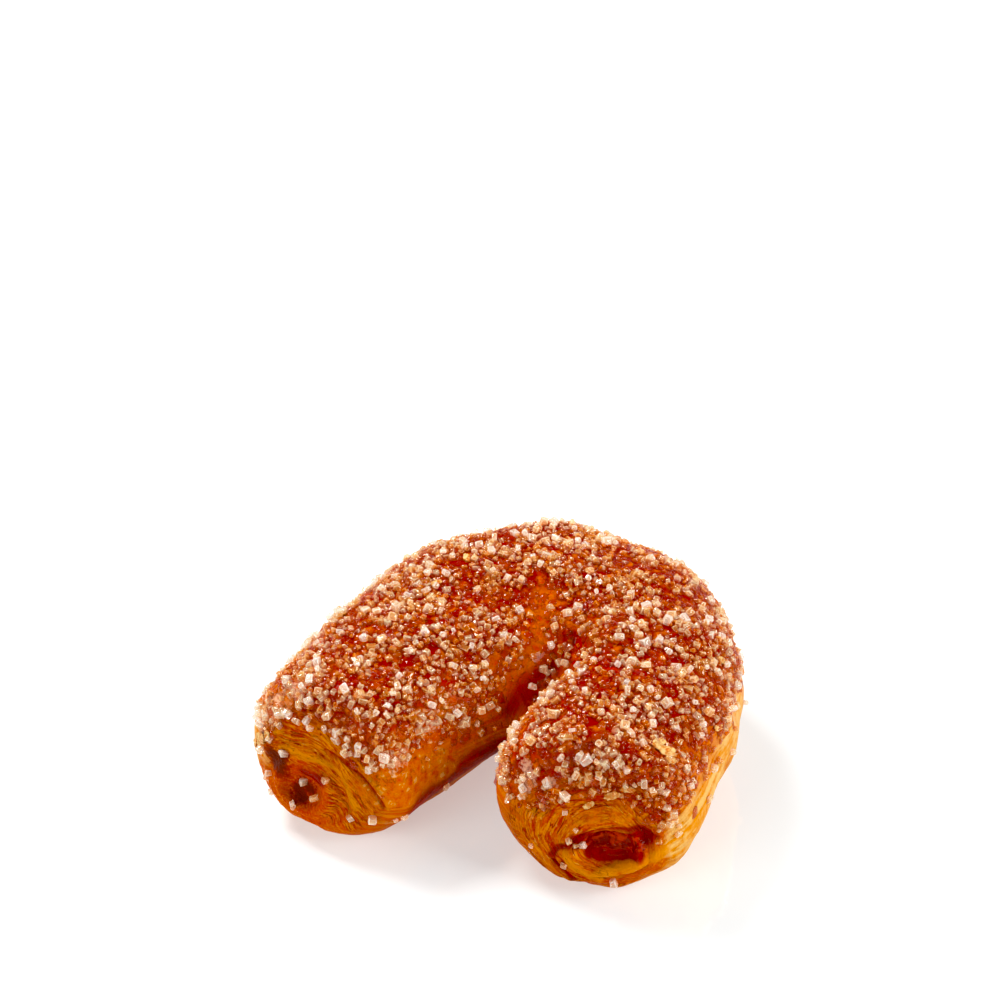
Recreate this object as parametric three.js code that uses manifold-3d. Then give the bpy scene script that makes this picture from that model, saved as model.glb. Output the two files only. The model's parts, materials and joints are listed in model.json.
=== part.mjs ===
// A brioche in the shape of a horseshoe: a fat roll of layered dough, bent round until its two arms
// touch and bake together, flat where it stood on the tray, and strewn with coarse sugar.
// Millimetres, +Z up. The origin is on the tray in the middle of the footprint. The bend lies towards
// +Y and the arms point to -Y, the longer one on the left.
import * as THREE from 'three';
import { ParametricGeometry } from 'three/addons/geometries/ParametricGeometry.js';
import { mergeVertices } from 'three/addons/utils/BufferGeometryUtils.js';
import Module from 'manifold-3d';

const { clamp, degToRad, lerp, seededRandom, smoothstep } = THREE.MathUtils;
const wasm = await Module();
wasm.setup();

// The middle line of the roll, with lengths measured both ways from the top of the bend. It starts as
// an even arc, straightens out to the end of the bend, and then only drifts.
const line = {
  left: 96.8,
  right: 86.7,
  bend: 47.1,
  arcShare: 0.3,
  turn: degToRad(77.2),
  drift: degToRad(0.08),
  step: 0.25,
};

// The roll's section at the bend, and at the length where its taper ends. The waist is the widest level.
const section = {
  halfWidth: { bend: 30, tip: 23.6 },
  height: { bend: 47.3, tip: 40.8 },
  taper: 93,
  waist: 0.42,
  crown: 2.2,
  belly: 1.85,
  sink: 1.2,
};

// The soft valley where the arms have baked together: its half width at the bend and along the arms,
// and how far the crease leans towards the right arm.
const valley = { bend: 10, arms: 3, fades: 38 };
const crease = { shift: 9, y: -30, along: 18, across: 20, low: 5, high: 30 };

// Each tip rounds in to a sunken eye. Layers show on its face as folds, and they lean forward below.
const tip = {
  length: 13.3,
  blunt: 2.4,
  lean: 0.17,
  face: 0.62,
  folds: 2,
  foldDepth: 0.8,
  eye: { share: 0.3, depth: 3 },
  left: { height: 13.7, outward: 3 },
  right: { height: 14.8, outward: 9 },
};

// Dents and lumps of the crown, from the top of the bend.
const dents = [
  { x: 14, y: -33.5, radius: 4.5, depth: 4.2 },
  { x: 18.5, y: -25, radius: 6, depth: -2.4 },
  { x: -12.6, y: 8, radius: 6, depth: 1.6 },
  { x: -30, y: -30, radius: 9, depth: 1.2 },
  { x: 36, y: -38, radius: 8, depth: -1 },
];

// The dough rises unevenly: slow waves run across the roll and push it a little each way.
const vector = (x, y, z) => new THREE.Vector3(x, y, z);
const waves = [
  { across: vector(0.8, 0.5, 0.3), push: vector(0.3, 0.6, 0.7), length: 31, reach: 0.8 },
  { across: vector(-0.4, 0.9, 0.2), push: vector(0.8, -0.3, 0.5), length: 23, reach: 0.6 },
  { across: vector(0.6, -0.3, 0.8), push: vector(-0.4, 0.8, 0.4), length: 17, reach: 0.4 },
];
const flatBelow = 9;

// Coarse sugar on the crown, short of the tips' faces.
const sugar = { grains: 190, size: 2.4, uneven: 0.4, apart: 4.9, sunk: 0.36, lean: 1.1, seed: 11 };
const sugared = { tipRings: 7, inner: 0.04, outer: 0.46, lowest: 15 };

// Pastry flakes that stand off the crust: one on the left tip's rim and a crumb on the right arm.
const bedding = { sunk: 0.3, lean: 1 };
const flakes = [
  { side: -1, ring: 27, around: 0.48, size: vector(3.4, 2.6, 3) },
  { side: 1, ring: 20, around: 0.35, size: vector(4, 2.4, 2.2) },
];

// How the skin is divided: rings where the arms are fused, where they are free and on the tips.
const rings = { fused: 14, free: 7, tip: 14 };
const perArm = rings.fused + rings.free + rings.tip;
const columns = 32;
const joinWithin = 0.05;

// The top of the bend as seen from the origin.
const bendTop = vector(0.4, 27.1, 0);

const crust = new THREE.MeshStandardMaterial({ color: 0xa8481a, roughness: 0.4, metalness: 0 });

// The heading of the middle line, turned clockwise from +X, at a length from the top of the bend.
function headingAt(length) {
  const share = Math.min(length / line.bend, 1);
  const straightening = Math.max(share - line.arcShare, 0) ** 2 / (2 * (1 - line.arcShare));
  const turned = (share - straightening) * (2 / (1 + line.arcShare));
  return line.turn * turned + line.drift * Math.max(length - line.bend, 0);
}

// The middle line of the right arm, walked in short steps. The left arm mirrors it.
const trace = [new THREE.Vector2()];
for (let length = line.step / 2; length < Math.max(line.left, line.right) + line.step; length += line.step) {
  const heading = headingAt(length);
  const stride = new THREE.Vector2(Math.cos(heading), -Math.sin(heading)).multiplyScalar(line.step);
  trace.push(stride.add(trace.at(-1)));
}

function middleAt(length) {
  const place = length / line.step;
  const before = Math.floor(place);
  return trace[before].clone().lerp(trace[before + 1], place - before);
}

// How far the middle line lies from the plane between the arms, along the section.
function reachAt(length) {
  const from = Math.max(length, line.step);
  return middleAt(from).x / Math.sin(headingAt(from));
}

// The section stays the same round the even arc, and tapers from there.
const arc = line.arcShare * line.bend;

function taperAt(length) {
  return (Math.max(length - arc, 0) / (section.taper - arc)) ** 2;
}

function halfWidthAt(length) {
  return lerp(section.halfWidth.bend, section.halfWidth.tip, taperAt(length));
}

function heightAt(length) {
  return lerp(section.height.bend, section.height.tip, taperAt(length));
}

function valleyAt(length) {
  return lerp(valley.bend, valley.arms, smoothstep(length, arc, valley.fades));
}

// The length at which the arms part, found by halving.
function findCrotch() {
  let near = 0;
  let far = line.right;
  while (far - near > 1e-9) {
    const middle = (near + far) / 2;
    const touches = reachAt(middle) - valleyAt(middle) / 2 < halfWidthAt(middle);
    if (touches) near = middle;
    else far = middle;
  }
  return near;
}
const crotch = findCrotch();

// The section of the roll: around runs from 0 at the inner side over the crown to 1 under the belly.
function sectionAt(length, around) {
  const halfWidth = halfWidthAt(length);
  const height = heightAt(length);
  const waist = section.waist * height;
  const reach = reachAt(length);
  const soft = valleyAt(length);
  const above = around < 0.5;
  const squareness = above ? section.crown : section.belly;
  const rise = above ? height - waist : -(waist + section.sink);
  const open = Math.min((reach - soft / 2) / halfWidth, 1);
  const innerAngle = Math.PI - Math.acos(open ** (squareness / 2));
  const angle = innerAngle * Math.abs(2 * around - 1);
  const across = Math.sign(Math.cos(angle)) * Math.abs(Math.cos(angle)) ** (2 / squareness) * halfWidth;
  const up = waist + rise * Math.abs(Math.sin(angle)) ** (2 / squareness);
  const bedded = reach - Math.sqrt(Math.max(2 * soft * (reach - soft / 2 + across), 0));
  const inValley = reach + across < soft;
  return new THREE.Vector2(inValley ? -bedded : across, Math.max(up, 0));
}

// Dents, the leaning crease and the slow waves, as one smooth shift of every point.
function settle(point) {
  const { x, y, z } = point;
  const bell = (distance) => Math.exp(-(distance ** 2));
  const leaning = bell((y - crease.y) / crease.along) * bell(x / crease.across);
  point.x += crease.shift * leaning * smoothstep(z, crease.low, crease.high);
  for (const { x: dentX, y: dentY, radius, depth } of dents) {
    const near = bell(Math.hypot(point.x - dentX, y - dentY) / radius);
    point.z -= depth * near * smoothstep(z, crease.low, crease.high);
  }
  const loose = smoothstep(z, 0, flatBelow);
  for (const { push, across, length, reach } of waves) {
    const sway = reach * Math.sin(((2 * Math.PI) / length) * (across.x * x + across.y * y + across.z * z));
    point.x += push.x * sway;
    point.y += push.y * sway;
    point.z += push.z * sway * loose;
  }
  return point;
}

// A point of the skin. Rings are counted along an arm from the top of the bend and may be fractions.
function skinAt(side, ring, around, target) {
  const fusedOrFree = rings.fused + rings.free;
  const arm = side < 0 ? line.left : line.right;
  const eye = side < 0 ? tip.left : tip.right;
  const tipStart = arm - tip.length;
  const length = ring < rings.fused
    ? crotch * (ring / rings.fused)
    : lerp(crotch, tipStart, Math.min((ring - rings.fused) / rings.free, 1));
  const spot = sectionAt(length, around);
  const angle = (Math.PI / 2) * clamp((ring - fusedOrFree) / rings.tip, 0, 1);
  const share = Math.cos(angle) ** (2 / tip.blunt);
  const onTip = Math.sin(angle) ** (2 / tip.blunt);
  spot.set(lerp(eye.outward, spot.x, share), lerp(eye.height, spot.y, share));
  const onFace = smoothstep(tip.face - share, 0, tip.face / 3);
  const fold = tip.foldDepth * Math.cos(2 * Math.PI * tip.folds * (share / tip.face)) * onFace;
  const sunken = tip.eye.depth * (1 - smoothstep(share, 0, tip.eye.share));
  const lean = tip.lean * (eye.height - spot.y) * Math.sin(angle);
  const forward = tip.length * onTip + lean + fold - sunken;
  const heading = headingAt(length);
  const middle = middleAt(length);
  target.set(
    side * (middle.x + spot.x * Math.sin(heading) + forward * Math.cos(heading)),
    middle.y + spot.x * Math.cos(heading) - forward * Math.sin(heading),
    spot.y,
  );
  return settle(target);
}

// The outward direction of the skin at a ring and a place around it.
function outwardAt(side, ring, around) {
  const little = 0.01;
  const spot = skinAt(side, ring, around, vector());
  const along = skinAt(side, ring + little, around, vector()).sub(spot);
  const round = skinAt(side, ring, around + little, vector()).sub(spot);
  return along.cross(round).multiplyScalar(side).normalize();
}

// The whole skin in one sheet, from the left tip over the bend to the right tip. Where the arms are
// fused its edges meet across the valley, and where they are free each ring closes on itself.
function skin(u, v, target) {
  const place = (2 * u - 1) * perArm;
  return skinAt(place < 0 ? -1 : 1, Math.abs(place), v, target);
}

function solidFrom(geometry) {
  geometry.deleteAttribute('normal');
  geometry.deleteAttribute('uv');
  const merged = mergeVertices(geometry, joinWithin);
  const corners = [];
  for (let first = 0; first < merged.index.count; first += 3) {
    const triangle = [0, 1, 2].map((corner) => merged.index.getX(first + corner));
    if (new Set(triangle).size === 3) corners.push(...triangle);
  }
  return new wasm.Manifold(new wasm.Mesh({
    numProp: 3,
    vertProperties: merged.attributes.position.array,
    triVerts: new Uint32Array(corners),
  }));
}

function geometryFrom(solid) {
  const { vertProperties, triVerts } = solid.getMesh();
  const geometry = new THREE.BufferGeometry();
  geometry.setAttribute('position', new THREE.BufferAttribute(vertProperties, 3));
  geometry.setIndex(new THREE.BufferAttribute(triVerts, 1));
  geometry.computeVertexNormals();
  return geometry;
}

// A box set into the skin, turned and leaning at random.
function bedBox(size, side, ring, around, sunk, lean) {
  const outward = outwardAt(side, ring, around);
  const spot = skinAt(side, ring, around, vector());
  const upright = new THREE.Quaternion().setFromUnitVectors(vector(0, 0, 1), outward);
  const leaning = new THREE.Euler(
    lean * (seededRandom() - 0.5),
    lean * (seededRandom() - 0.5),
    2 * Math.PI * seededRandom(),
  );
  const box = new THREE.BoxGeometry(size.x, size.y, size.z);
  box.applyQuaternion(new THREE.Quaternion().setFromEuler(leaning));
  box.applyQuaternion(upright);
  box.translate(...spot.addScaledVector(outward, size.z * (0.5 - sunk)));
  return solidFrom(box);
}

// Sugar grains, thrown one by one and kept where they lie clear of each other.
function strewSugar() {
  const places = [];
  const grains = [];
  while (grains.length < sugar.grains) {
    const side = seededRandom() < 0.5 ? -1 : 1;
    const ring = seededRandom() * (rings.fused + rings.free + sugared.tipRings);
    const around = lerp(sugared.inner, sugared.outer, seededRandom());
    const spot = skinAt(side, ring, around, vector());
    const clear = places.every((other) => other.distanceTo(spot) > sugar.apart);
    if (clear && spot.z > sugared.lowest) {
      const edge = () => sugar.size * (1 + sugar.uneven * (seededRandom() - 0.5));
      places.push(spot);
      grains.push(bedBox(vector(edge(), edge(), edge()), side, ring, around, sugar.sunk, sugar.lean));
    }
  }
  return grains;
}

function makeBrioche() {
  const roll = solidFrom(new ParametricGeometry(skin, 2 * perArm, columns));
  seededRandom(sugar.seed);
  const standing = flakes.map(({ side, ring, around, size }) => (
    bedBox(size, side, ring, around, bedding.sunk, bedding.lean)
  ));
  const joined = wasm.Manifold.union([roll, ...standing, ...strewSugar()]);
  const geometry = geometryFrom(joined);
  geometry.translate(...bendTop);
  const brioche = new THREE.Mesh(geometry, crust);
  brioche.name = 'brioche';
  return brioche;
}

export default new THREE.Group().add(makeBrioche());
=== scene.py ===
# A horseshoe brioche with coarse sugar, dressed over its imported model. Metres, the bend towards +Y.
import json
import math
import random
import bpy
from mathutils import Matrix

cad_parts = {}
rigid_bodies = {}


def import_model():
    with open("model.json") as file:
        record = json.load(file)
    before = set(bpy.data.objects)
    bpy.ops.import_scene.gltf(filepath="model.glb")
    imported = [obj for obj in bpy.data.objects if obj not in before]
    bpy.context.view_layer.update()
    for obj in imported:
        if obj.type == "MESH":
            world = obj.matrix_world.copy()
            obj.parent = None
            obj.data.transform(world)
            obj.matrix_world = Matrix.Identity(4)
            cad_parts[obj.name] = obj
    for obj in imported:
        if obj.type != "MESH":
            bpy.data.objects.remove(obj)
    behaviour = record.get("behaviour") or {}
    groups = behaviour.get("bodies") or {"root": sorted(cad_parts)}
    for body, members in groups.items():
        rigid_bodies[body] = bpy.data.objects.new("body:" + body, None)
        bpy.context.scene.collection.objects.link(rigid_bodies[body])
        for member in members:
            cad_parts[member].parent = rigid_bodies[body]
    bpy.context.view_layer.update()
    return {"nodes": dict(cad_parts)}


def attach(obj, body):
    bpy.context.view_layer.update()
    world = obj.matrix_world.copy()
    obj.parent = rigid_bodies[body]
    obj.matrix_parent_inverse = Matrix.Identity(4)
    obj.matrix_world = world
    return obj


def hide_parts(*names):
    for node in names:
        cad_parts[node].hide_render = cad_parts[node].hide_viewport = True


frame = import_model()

from types import SimpleNamespace

import bmesh
import bpy
import numpy as np
from mathutils import Euler, Matrix, Vector, noise
from mathutils.bvhtree import BVHTree

print("frame loaded:", ", ".join(frame["nodes"]))


class Wire:  # the output of a node, which can stand in a sum
    def __init__(self, sheet, socket):
        self.sheet = sheet
        self.socket = socket

    def output(self, name):
        return Wire(self.sheet, self.socket.node.outputs[name])


def reckoning(operation, reflected):  # the method for one sign, with the wire on its left or on its right
    def reckon(wire, other):
        pair = [other, wire] if reflected else [wire, other]
        kinds = [part.socket.type for part in pair if isinstance(part, Wire)]
        if "VECTOR" not in kinds and "RGBA" not in kinds:
            return wire.sheet.function(operation, *pair)
        pair = [(part,) * 3 if isinstance(part, (int, float)) else part for part in pair]
        return wire.sheet.add("ShaderNodeVectorMath", {"operation": operation}, dict(enumerate(pair)))

    return reckon


for sign, operation in {"add": "ADD", "sub": "SUBTRACT", "mul": "MULTIPLY", "truediv": "DIVIDE"}.items():
    setattr(Wire, f"__{sign}__", reckoning(operation, reflected=False))
    setattr(Wire, f"__r{sign}__", reckoning(operation, reflected=True))


class Sheet:  # a node tree that is being written, and the colours that it knows by name
    def __init__(self, tree, colours=None):
        self.tree = tree
        self.colours = colours

    def add(self, kind, settings=None, inputs=None):
        node = self.tree.nodes.new(kind)
        for name, value in (settings or {}).items():
            if name == "stops":
                self.setStops(node.color_ramp, value)
            else:
                setattr(node, name, value)
        for name, value in (inputs or {}).items():
            fitting = [entry for entry in node.inputs if entry.enabled and entry.name == name]
            socket = fitting[0] if fitting else node.inputs[name]
            if isinstance(value, Wire):
                self.tree.links.new(value.socket, socket)
            else:
                socket.default_value = value
        first = next((entry for entry in node.outputs if entry.enabled), None)
        return Wire(self, first) if first else node

    def setStops(self, ramp, stops):
        while len(ramp.elements) < len(stops):
            ramp.elements.new(0.5)
        for element, (place, colour) in zip(ramp.elements, stops):
            element.position = place
            element.color = (*colour, 1)

    def noise(self, vector, size, detail=2.0, roughness=0.5, distortion=0.0):  # size in metres
        sizes = {"Vector": vector, "Scale": 1 / size, "Detail": detail, "Roughness": roughness}
        return self.add("ShaderNodeTexNoise", None, {**sizes, "Distortion": distortion})

    def strata(self, place, layer, length, thickness, detail=2.0):  # streaks along layers counted in mm
        across = layer * (0.001 * length / thickness)
        sizes = {"Vector": place, "W": across, "Scale": 1 / length, "Detail": detail, "Roughness": 0.55}
        return self.add("ShaderNodeTexNoise", {"noise_dimensions": "4D"}, sizes)

    def creaseOf(self, pattern, width):  # thin lines where a pattern crosses its middle
        return self.ease(self.function("ABSOLUTE", pattern - 0.5), width, 0.0)

    def cells(self, vector, size):
        sizes = {"Vector": vector, "Scale": 1 / size}
        return self.add("ShaderNodeTexVoronoi", {"feature": "SMOOTH_F1"}, sizes)

    def ease(self, value, low, high):  # 0 below low, 1 above high, and soft between; low may be the greater
        ends = {"Value": value, "From Min": low, "From Max": high, "To Min": 0.0, "To Max": 1.0}
        return self.add("ShaderNodeMapRange", {"interpolation_type": "SMOOTHSTEP"}, ends)

    def mix(self, share, below, above):
        parts = [(*self.colours[part], 1) if isinstance(part, str) else part for part in (below, above)]
        sockets = {"Factor": share, "A": parts[0], "B": parts[1]}
        return self.add("ShaderNodeMix", {"data_type": "RGBA"}, sockets)

    def paint(self, colour, *coats):  # coats that cover it one after the other, each a share and a colour
        for share, coat in coats:
            colour = self.mix(share, colour, coat)
        return colour

    def function(self, operation, *values):
        return self.add("ShaderNodeMath", {"operation": operation}, dict(enumerate(values)))

    def place(self):  # Object coordinates
        return self.add("ShaderNodeTexCoord").output("Object")

    def attribute(self, name):
        return self.add("ShaderNodeAttribute", {"attribute_name": name}).output("Fac")

    def named(self, name):  # an attribute in Geometry Nodes
        return self.add("GeometryNodeInputNamedAttribute", {"data_type": "FLOAT"}, {"Name": name})

    def store(self, geometry, name, value, domain="POINT"):
        settings = {"data_type": "FLOAT", "domain": domain}
        stored = {"Geometry": geometry, "Name": name, "Value": value}
        return self.add("GeometryNodeStoreNamedAttribute", settings, stored)


def sway(pattern, reach):  # a pattern about its middle
    return (pattern - 0.5) * reach


def newTree(name, inputs):
    tree = bpy.data.node_groups.new(name, "GeometryNodeTree")
    for label, kind in {"Geometry": "Geometry", **inputs}.items():
        tree.interface.new_socket(label, in_out="INPUT", socket_type="NodeSocket" + kind)
    tree.interface.new_socket("Geometry", in_out="OUTPUT", socket_type="NodeSocketGeometry")
    sheet = Sheet(tree)
    given = tree.nodes.new("NodeGroupInput")
    return sheet, {label: Wire(sheet, given.outputs[label]) for label in ("Geometry", *inputs)}


def endTree(sheet, geometry, material):
    real = sheet.add("GeometryNodeRealizeInstances", None, {"Geometry": geometry})
    painted = sheet.add("GeometryNodeSetMaterial", None, {"Geometry": real, "Material": material})
    sheet.add("NodeGroupOutput", None, {0: painted})


def runTree(piece, sheet, values):  # the piece's mesh becomes what the tree makes of it
    modifier = piece.modifiers.new(sheet.tree.name, "NODES")
    modifier.node_group = sheet.tree
    for item in sheet.tree.interface.items_tree:
        if item.in_out == "INPUT" and item.name in values:
            modifier[item.identifier] = values[item.name]
    depsgraph = bpy.context.evaluated_depsgraph_get()
    made = bpy.data.meshes.new_from_object(
        piece.evaluated_get(depsgraph), preserve_all_data_layers=True, depsgraph=depsgraph
    )
    piece.modifiers.remove(modifier)
    piece.data = made
    made.name = piece.name


def meshOf(name, shape, smooth=True):  # from a bmesh, which it frees
    mesh = bpy.data.meshes.new(name)
    shape.to_mesh(mesh)
    shape.free()
    if smooth:
        mesh.polygons.foreach_set("use_smooth", [True] * len(mesh.polygons))
    return mesh


def newPiece(name, mesh, material=None):
    if material:
        mesh.materials.append(material)
    piece = bpy.data.objects.new(name, mesh)
    bpy.context.scene.collection.objects.link(piece)
    return piece


def finishPiece(piece):
    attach(piece, "root")
    print(piece.name, "has", sum(len(face.vertices) - 2 for face in piece.data.polygons), "triangles")


def newMaterial(name, fixed, colours=None):
    material = bpy.data.materials.new(name)
    material.use_nodes = True
    sheet = Sheet(material.node_tree, colours)
    shader = material.node_tree.nodes["Principled BSDF"]
    for label, value in fixed.items():
        shader.inputs[label].default_value = value
    return material, sheet, shader


def feed(sheet, shader, wires):
    for label, wire in wires.items():
        sheet.tree.links.new(wire.socket, shader.inputs[label])


def bumpOf(sheet, height, depth, strength=1.0, **under):  # depth in metres
    sizes = {"Height": height, "Distance": depth, "Strength": strength}
    return sheet.add("ShaderNodeBump", None, {**sizes, **under})


crustLook = {
    "colours": {  # reflectance
        "mahogany": (0.21, 0.003, 0.0001), "redBrown": (0.33, 0.013, 0.0002),
        "orange": (0.48, 0.068, 0.0006), "golden": (0.56, 0.150, 0.004), "yellow": (0.63, 0.24, 0.018),
        "pale": (0.72, 0.42, 0.15), "burnt": (0.11, 0.010, 0.0010), "glossyRed": (0.30, 0.008, 0.0002),
        # the pale colour of sugar dust, also laid on as painted light and a painted highlight
        "sole": (0.52, 0.18, 0.03), "frosted": (0.76, 0.46, 0.32),
    },
    "patterns": {"patches": (0.009, 3), "mottle": (0.0022, 3), "fine": (0.0006, 2)},  # metres, and detail
    "streaks": {  # the map that they follow, their length and thickness in metres, and the detail
        "strands": ("girth", 0.018, 0.0011, 3), "bands": ("girth", 0.03, 0.0028, 2),
        "broad": ("layer", 0.010, 0.0014, 2), "threads": ("layer", 0.005, 0.0006, 2),
        "fibres": ("layer", 0.0026, 0.0003, 1),
    },
    "breaks": 0.0035, "blobs": {"size": 0.0023, "wobble": 0.0012, "wobbleScale": 900.0},  # metres
    "heights": {  # millimetres above the table, from where a look starts to where it is full
        "paleInside": (34, 16), "orangeSide": (18, 34), "orangeFoot": (6, 1.5), "brownTop": (31, 40),
        "mahoganyTop": (34, 46), "glaze": (22, 38), "sole": (1.6, 0.5),
    },
    "tipStarts": (40, 52), "eyeStarts": (66, 84),  # degrees round a tip
    "bump": {"lines": 0.0004, "fine": 0.00022},  # metres
}


def readSkin(sheet, look):  # the maps that the skin's points carry, and the patterns on it
    place = sheet.place()
    skin = SimpleNamespace(height=sheet.add("ShaderNodeSeparateXYZ", None, {0: place}).output("Z") * 1000)
    for name in ("cap", "layer", "relief", "girth", "strewn", "lined", *crustMarks):
        setattr(skin, name, sheet.attribute(name))
    for name, (size, detail) in look["patterns"].items():
        setattr(skin, name, sheet.noise(place, size, detail, 0.6))
    for name, (across, *sizes) in look["streaks"].items():
        setattr(skin, name, sheet.strata(place, getattr(skin, across), *sizes))
    skin.baked = skin.height + sway(skin.patches, 16) + sway(skin.mottle, 8)
    skin.crumbly = sway(skin.mottle, 1.6) + sway(skin.fine, 0.9)
    skin.strandLine = sheet.creaseOf(skin.strands, 0.045)
    skin.broken = sheet.ease(sheet.noise(place, look["breaks"], 2), 0.45, 0.58)
    skin.broadLine = sheet.creaseOf(skin.broad, 0.03) * skin.broken
    skin.threadLine = sheet.creaseOf(skin.threads, 0.05) * (1 - skin.broken * 0.5)
    skin.onTip = sheet.ease(skin.cap + sway(skin.patches, 14) + sway(skin.mottle, 8), *look["tipStarts"])
    skin.lined = sheet.ease(skin.lined + sway(skin.patches, 0.4), 0.25, 0.8)
    skin.fibrous = skin.onTip * (0.25 + skin.lined * 0.75)
    skin.shaded = sheet.ease(skin.shaded + sway(skin.mottle, 0.5), 0.2, 0.8)
    skin.jammy = sheet.ease(skin.jammy + sway(skin.mottle, 0.7), 0.3, 0.75)
    skin.toasted = sheet.mix(sheet.ease(skin.mottle, 0.32, 0.52), "orange", "golden")
    sizes = look["blobs"]
    wobble = sheet.add("ShaderNodeTexNoise", None, {"Vector": place, "Scale": sizes["wobbleScale"]})
    wobble = sway(wobble.output("Color"), sizes["wobble"])
    blobs = sheet.ease(sheet.cells(place + wobble, sizes["size"]), 0.54, 0.2)
    blobs = blobs * sheet.ease(skin.mottle + sway(skin.patches, 0.6), 0.36, 0.5)
    skin.blobs = sheet.ease(skin.strewn + sway(skin.patches, 0.8), 0.1, 0.45) * blobs
    return skin


def paintSide(sheet, skin, heights):  # streaks along the roll, pale outside and golden inside
    streaks = 0.5 + sway(skin.strands, 0.5) + sway(skin.bands, 0.5)
    streaks = streaks + sway(skin.patches, 0.8) + sway(skin.mottle, 0.4)
    outside = sheet.mix(sheet.ease(streaks, 0.32, 0.55), "golden", "yellow")
    outside = sheet.mix(sheet.ease(streaks, 0.38, 0.64) * 0.85, outside, "pale")
    paleInside = sheet.ease(skin.baked, *heights["paleInside"]) * sheet.ease(skin.strands, 0.46, 0.66)
    inside = sheet.mix(sheet.ease(skin.strands, 0.34, 0.56), "orange", "golden")
    inside = sheet.mix(paleInside * 0.25, inside, "pale")
    return sheet.paint(
        outside, (sheet.ease(skin.girth + sway(skin.patches, 12), 40, 54), inside),
        (skin.strandLine * 0.16, "redBrown"),
        (sheet.ease(skin.baked, *heights["orangeSide"]) * 0.6, "orange"),
        (sheet.ease(skin.height, *heights["orangeFoot"]) * 0.5, "orange"),
    )


def paintTop(sheet, skin, side, heights):  # dark with amber spots and blobs of melted sugar
    brown = sheet.mix(sheet.ease(skin.baked, *heights["mahoganyTop"]), "redBrown", "mahogany")
    amber = sheet.ease(skin.ambered + sway(skin.mottle, 0.8), 0.2, 0.9)
    return sheet.paint(
        side, (sheet.ease(skin.baked, *heights["brownTop"]), brown),
        (sheet.ease(skin.mottle + skin.relief * 0.25, 0.5, 0.72) * 0.35, "orange"),
        (amber * 0.6, skin.toasted),
        # painted shade in the gap, the pit and the creases, and the tips' own dark glaze
        (skin.shaded * 0.95, sheet.mix(sheet.ease(skin.mottle, 0.4, 0.6), "mahogany", "redBrown")),
        (skin.blobs * 0.75, sheet.mix(sheet.ease(skin.fine + skin.mottle, 0.85, 1.1), "orange", "golden")),
    )


def paintTips(sheet, skin, top, eyeStarts):  # the layers of the dough, smooth where they don't show
    smooth = sheet.mix(sheet.ease(skin.mottle + sway(skin.patches, 0.9), 0.46, 0.70), "orange", "golden")
    smooth = sheet.mix(sheet.ease(skin.cap, *eyeStarts) * 0.45, smooth, "redBrown")
    layered = sheet.paint(
        sheet.mix(sheet.ease(skin.broad, 0.38, 0.60), "orange", "golden"),
        (sheet.ease(skin.broad, 0.47, 0.36) * 0.6, "redBrown"),
        (sheet.ease(skin.threads, 0.52, 0.66) * 0.75, "yellow"),
    )
    straw = sheet.mix(sheet.ease(skin.mottle, 0.4, 0.6) * 0.6, "yellow", "pale")
    specks = skin.fine + sway(skin.mottle, 0.7)
    return sheet.paint(
        top, (skin.onTip, sheet.mix(skin.lined, smooth, layered)),
        (sheet.ease(skin.fibres, 0.50, 0.64) * skin.fibrous * 0.6, straw),
        (sheet.ease(skin.fibres, 0.46, 0.3) * skin.fibrous * 0.3, "redBrown"),
        # the tips' own dark red-brown glaze bands, from the same marks as the painted shade
        (skin.shaded * skin.onTip * (0.3 + sheet.ease(skin.broad, 0.6, 0.4) * 0.6), "redBrown"),
        (skin.threadLine * skin.lined * 0.3, "redBrown"),
        (sheet.ease(specks, 0.55, 0.72) * skin.onTip * 0.5, "redBrown"),
        (sheet.ease(specks, 0.44, 0.28) * skin.onTip * 0.45, "yellow"),
        (skin.broadLine * skin.lined * 0.9, "redBrown"),
    )


def paintMarks(sheet, skin, colour, heights):  # what crustMarks puts on the skin, and the pale sole
    paler = sheet.ease(skin.paler + sway(skin.patches, 0.7) + sway(skin.strands, 0.5), 0.25, 0.75)
    blistered = sheet.mix(sheet.ease(skin.mottle, 0.56, 0.68) * 0.6, skin.toasted, "pale")
    streaky = sheet.ease(skin.strands + sway(skin.mottle, 0.5), 0.38, 0.58)
    reds = sheet.mix(sheet.ease(skin.mottle + skin.patches, 0.9, 1.15), "mahogany", "glossyRed")
    # pale sugar dust, and painted light on the left arm's lit outer edge and a painted highlight on the
    # right tip's glaze
    frost = sheet.ease(skin.frosted + skin.crumbly * sheet.ease(skin.frosted, 0.02, 0.3), 0.45, 0.9)
    burnt = skin.burnt + skin.crumbly * sheet.ease(skin.burnt, 0.02, 0.3)
    skin.char = sheet.ease(burnt, 0.5, 1.0)
    return sheet.paint(
        colour, (sheet.ease(skin.bare, 0.2, 0.7), blistered),
        (paler * 0.85, sheet.mix(streaky, "yellow", "pale")),
        (sheet.ease(skin.raised, 0.25, 0.8) * 0.8, "yellow"),
        # sunken grooves painted red-brown: the dark lines between the dough's layers, and painted shade in
        # the pit and the hollows near the crotch
        (sheet.ease(skin.sunken, 0.25, 0.9) * 0.85, "redBrown"),
        (skin.jammy * 0.95, reds),
        (frost * 0.65, "frosted"),
        (sheet.ease(burnt, 0.1, 0.55) * 0.75, "mahogany"),
        (skin.char * 0.8, "burnt"),
        (sheet.ease(skin.height, *heights["sole"]), "sole"),
    )


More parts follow.
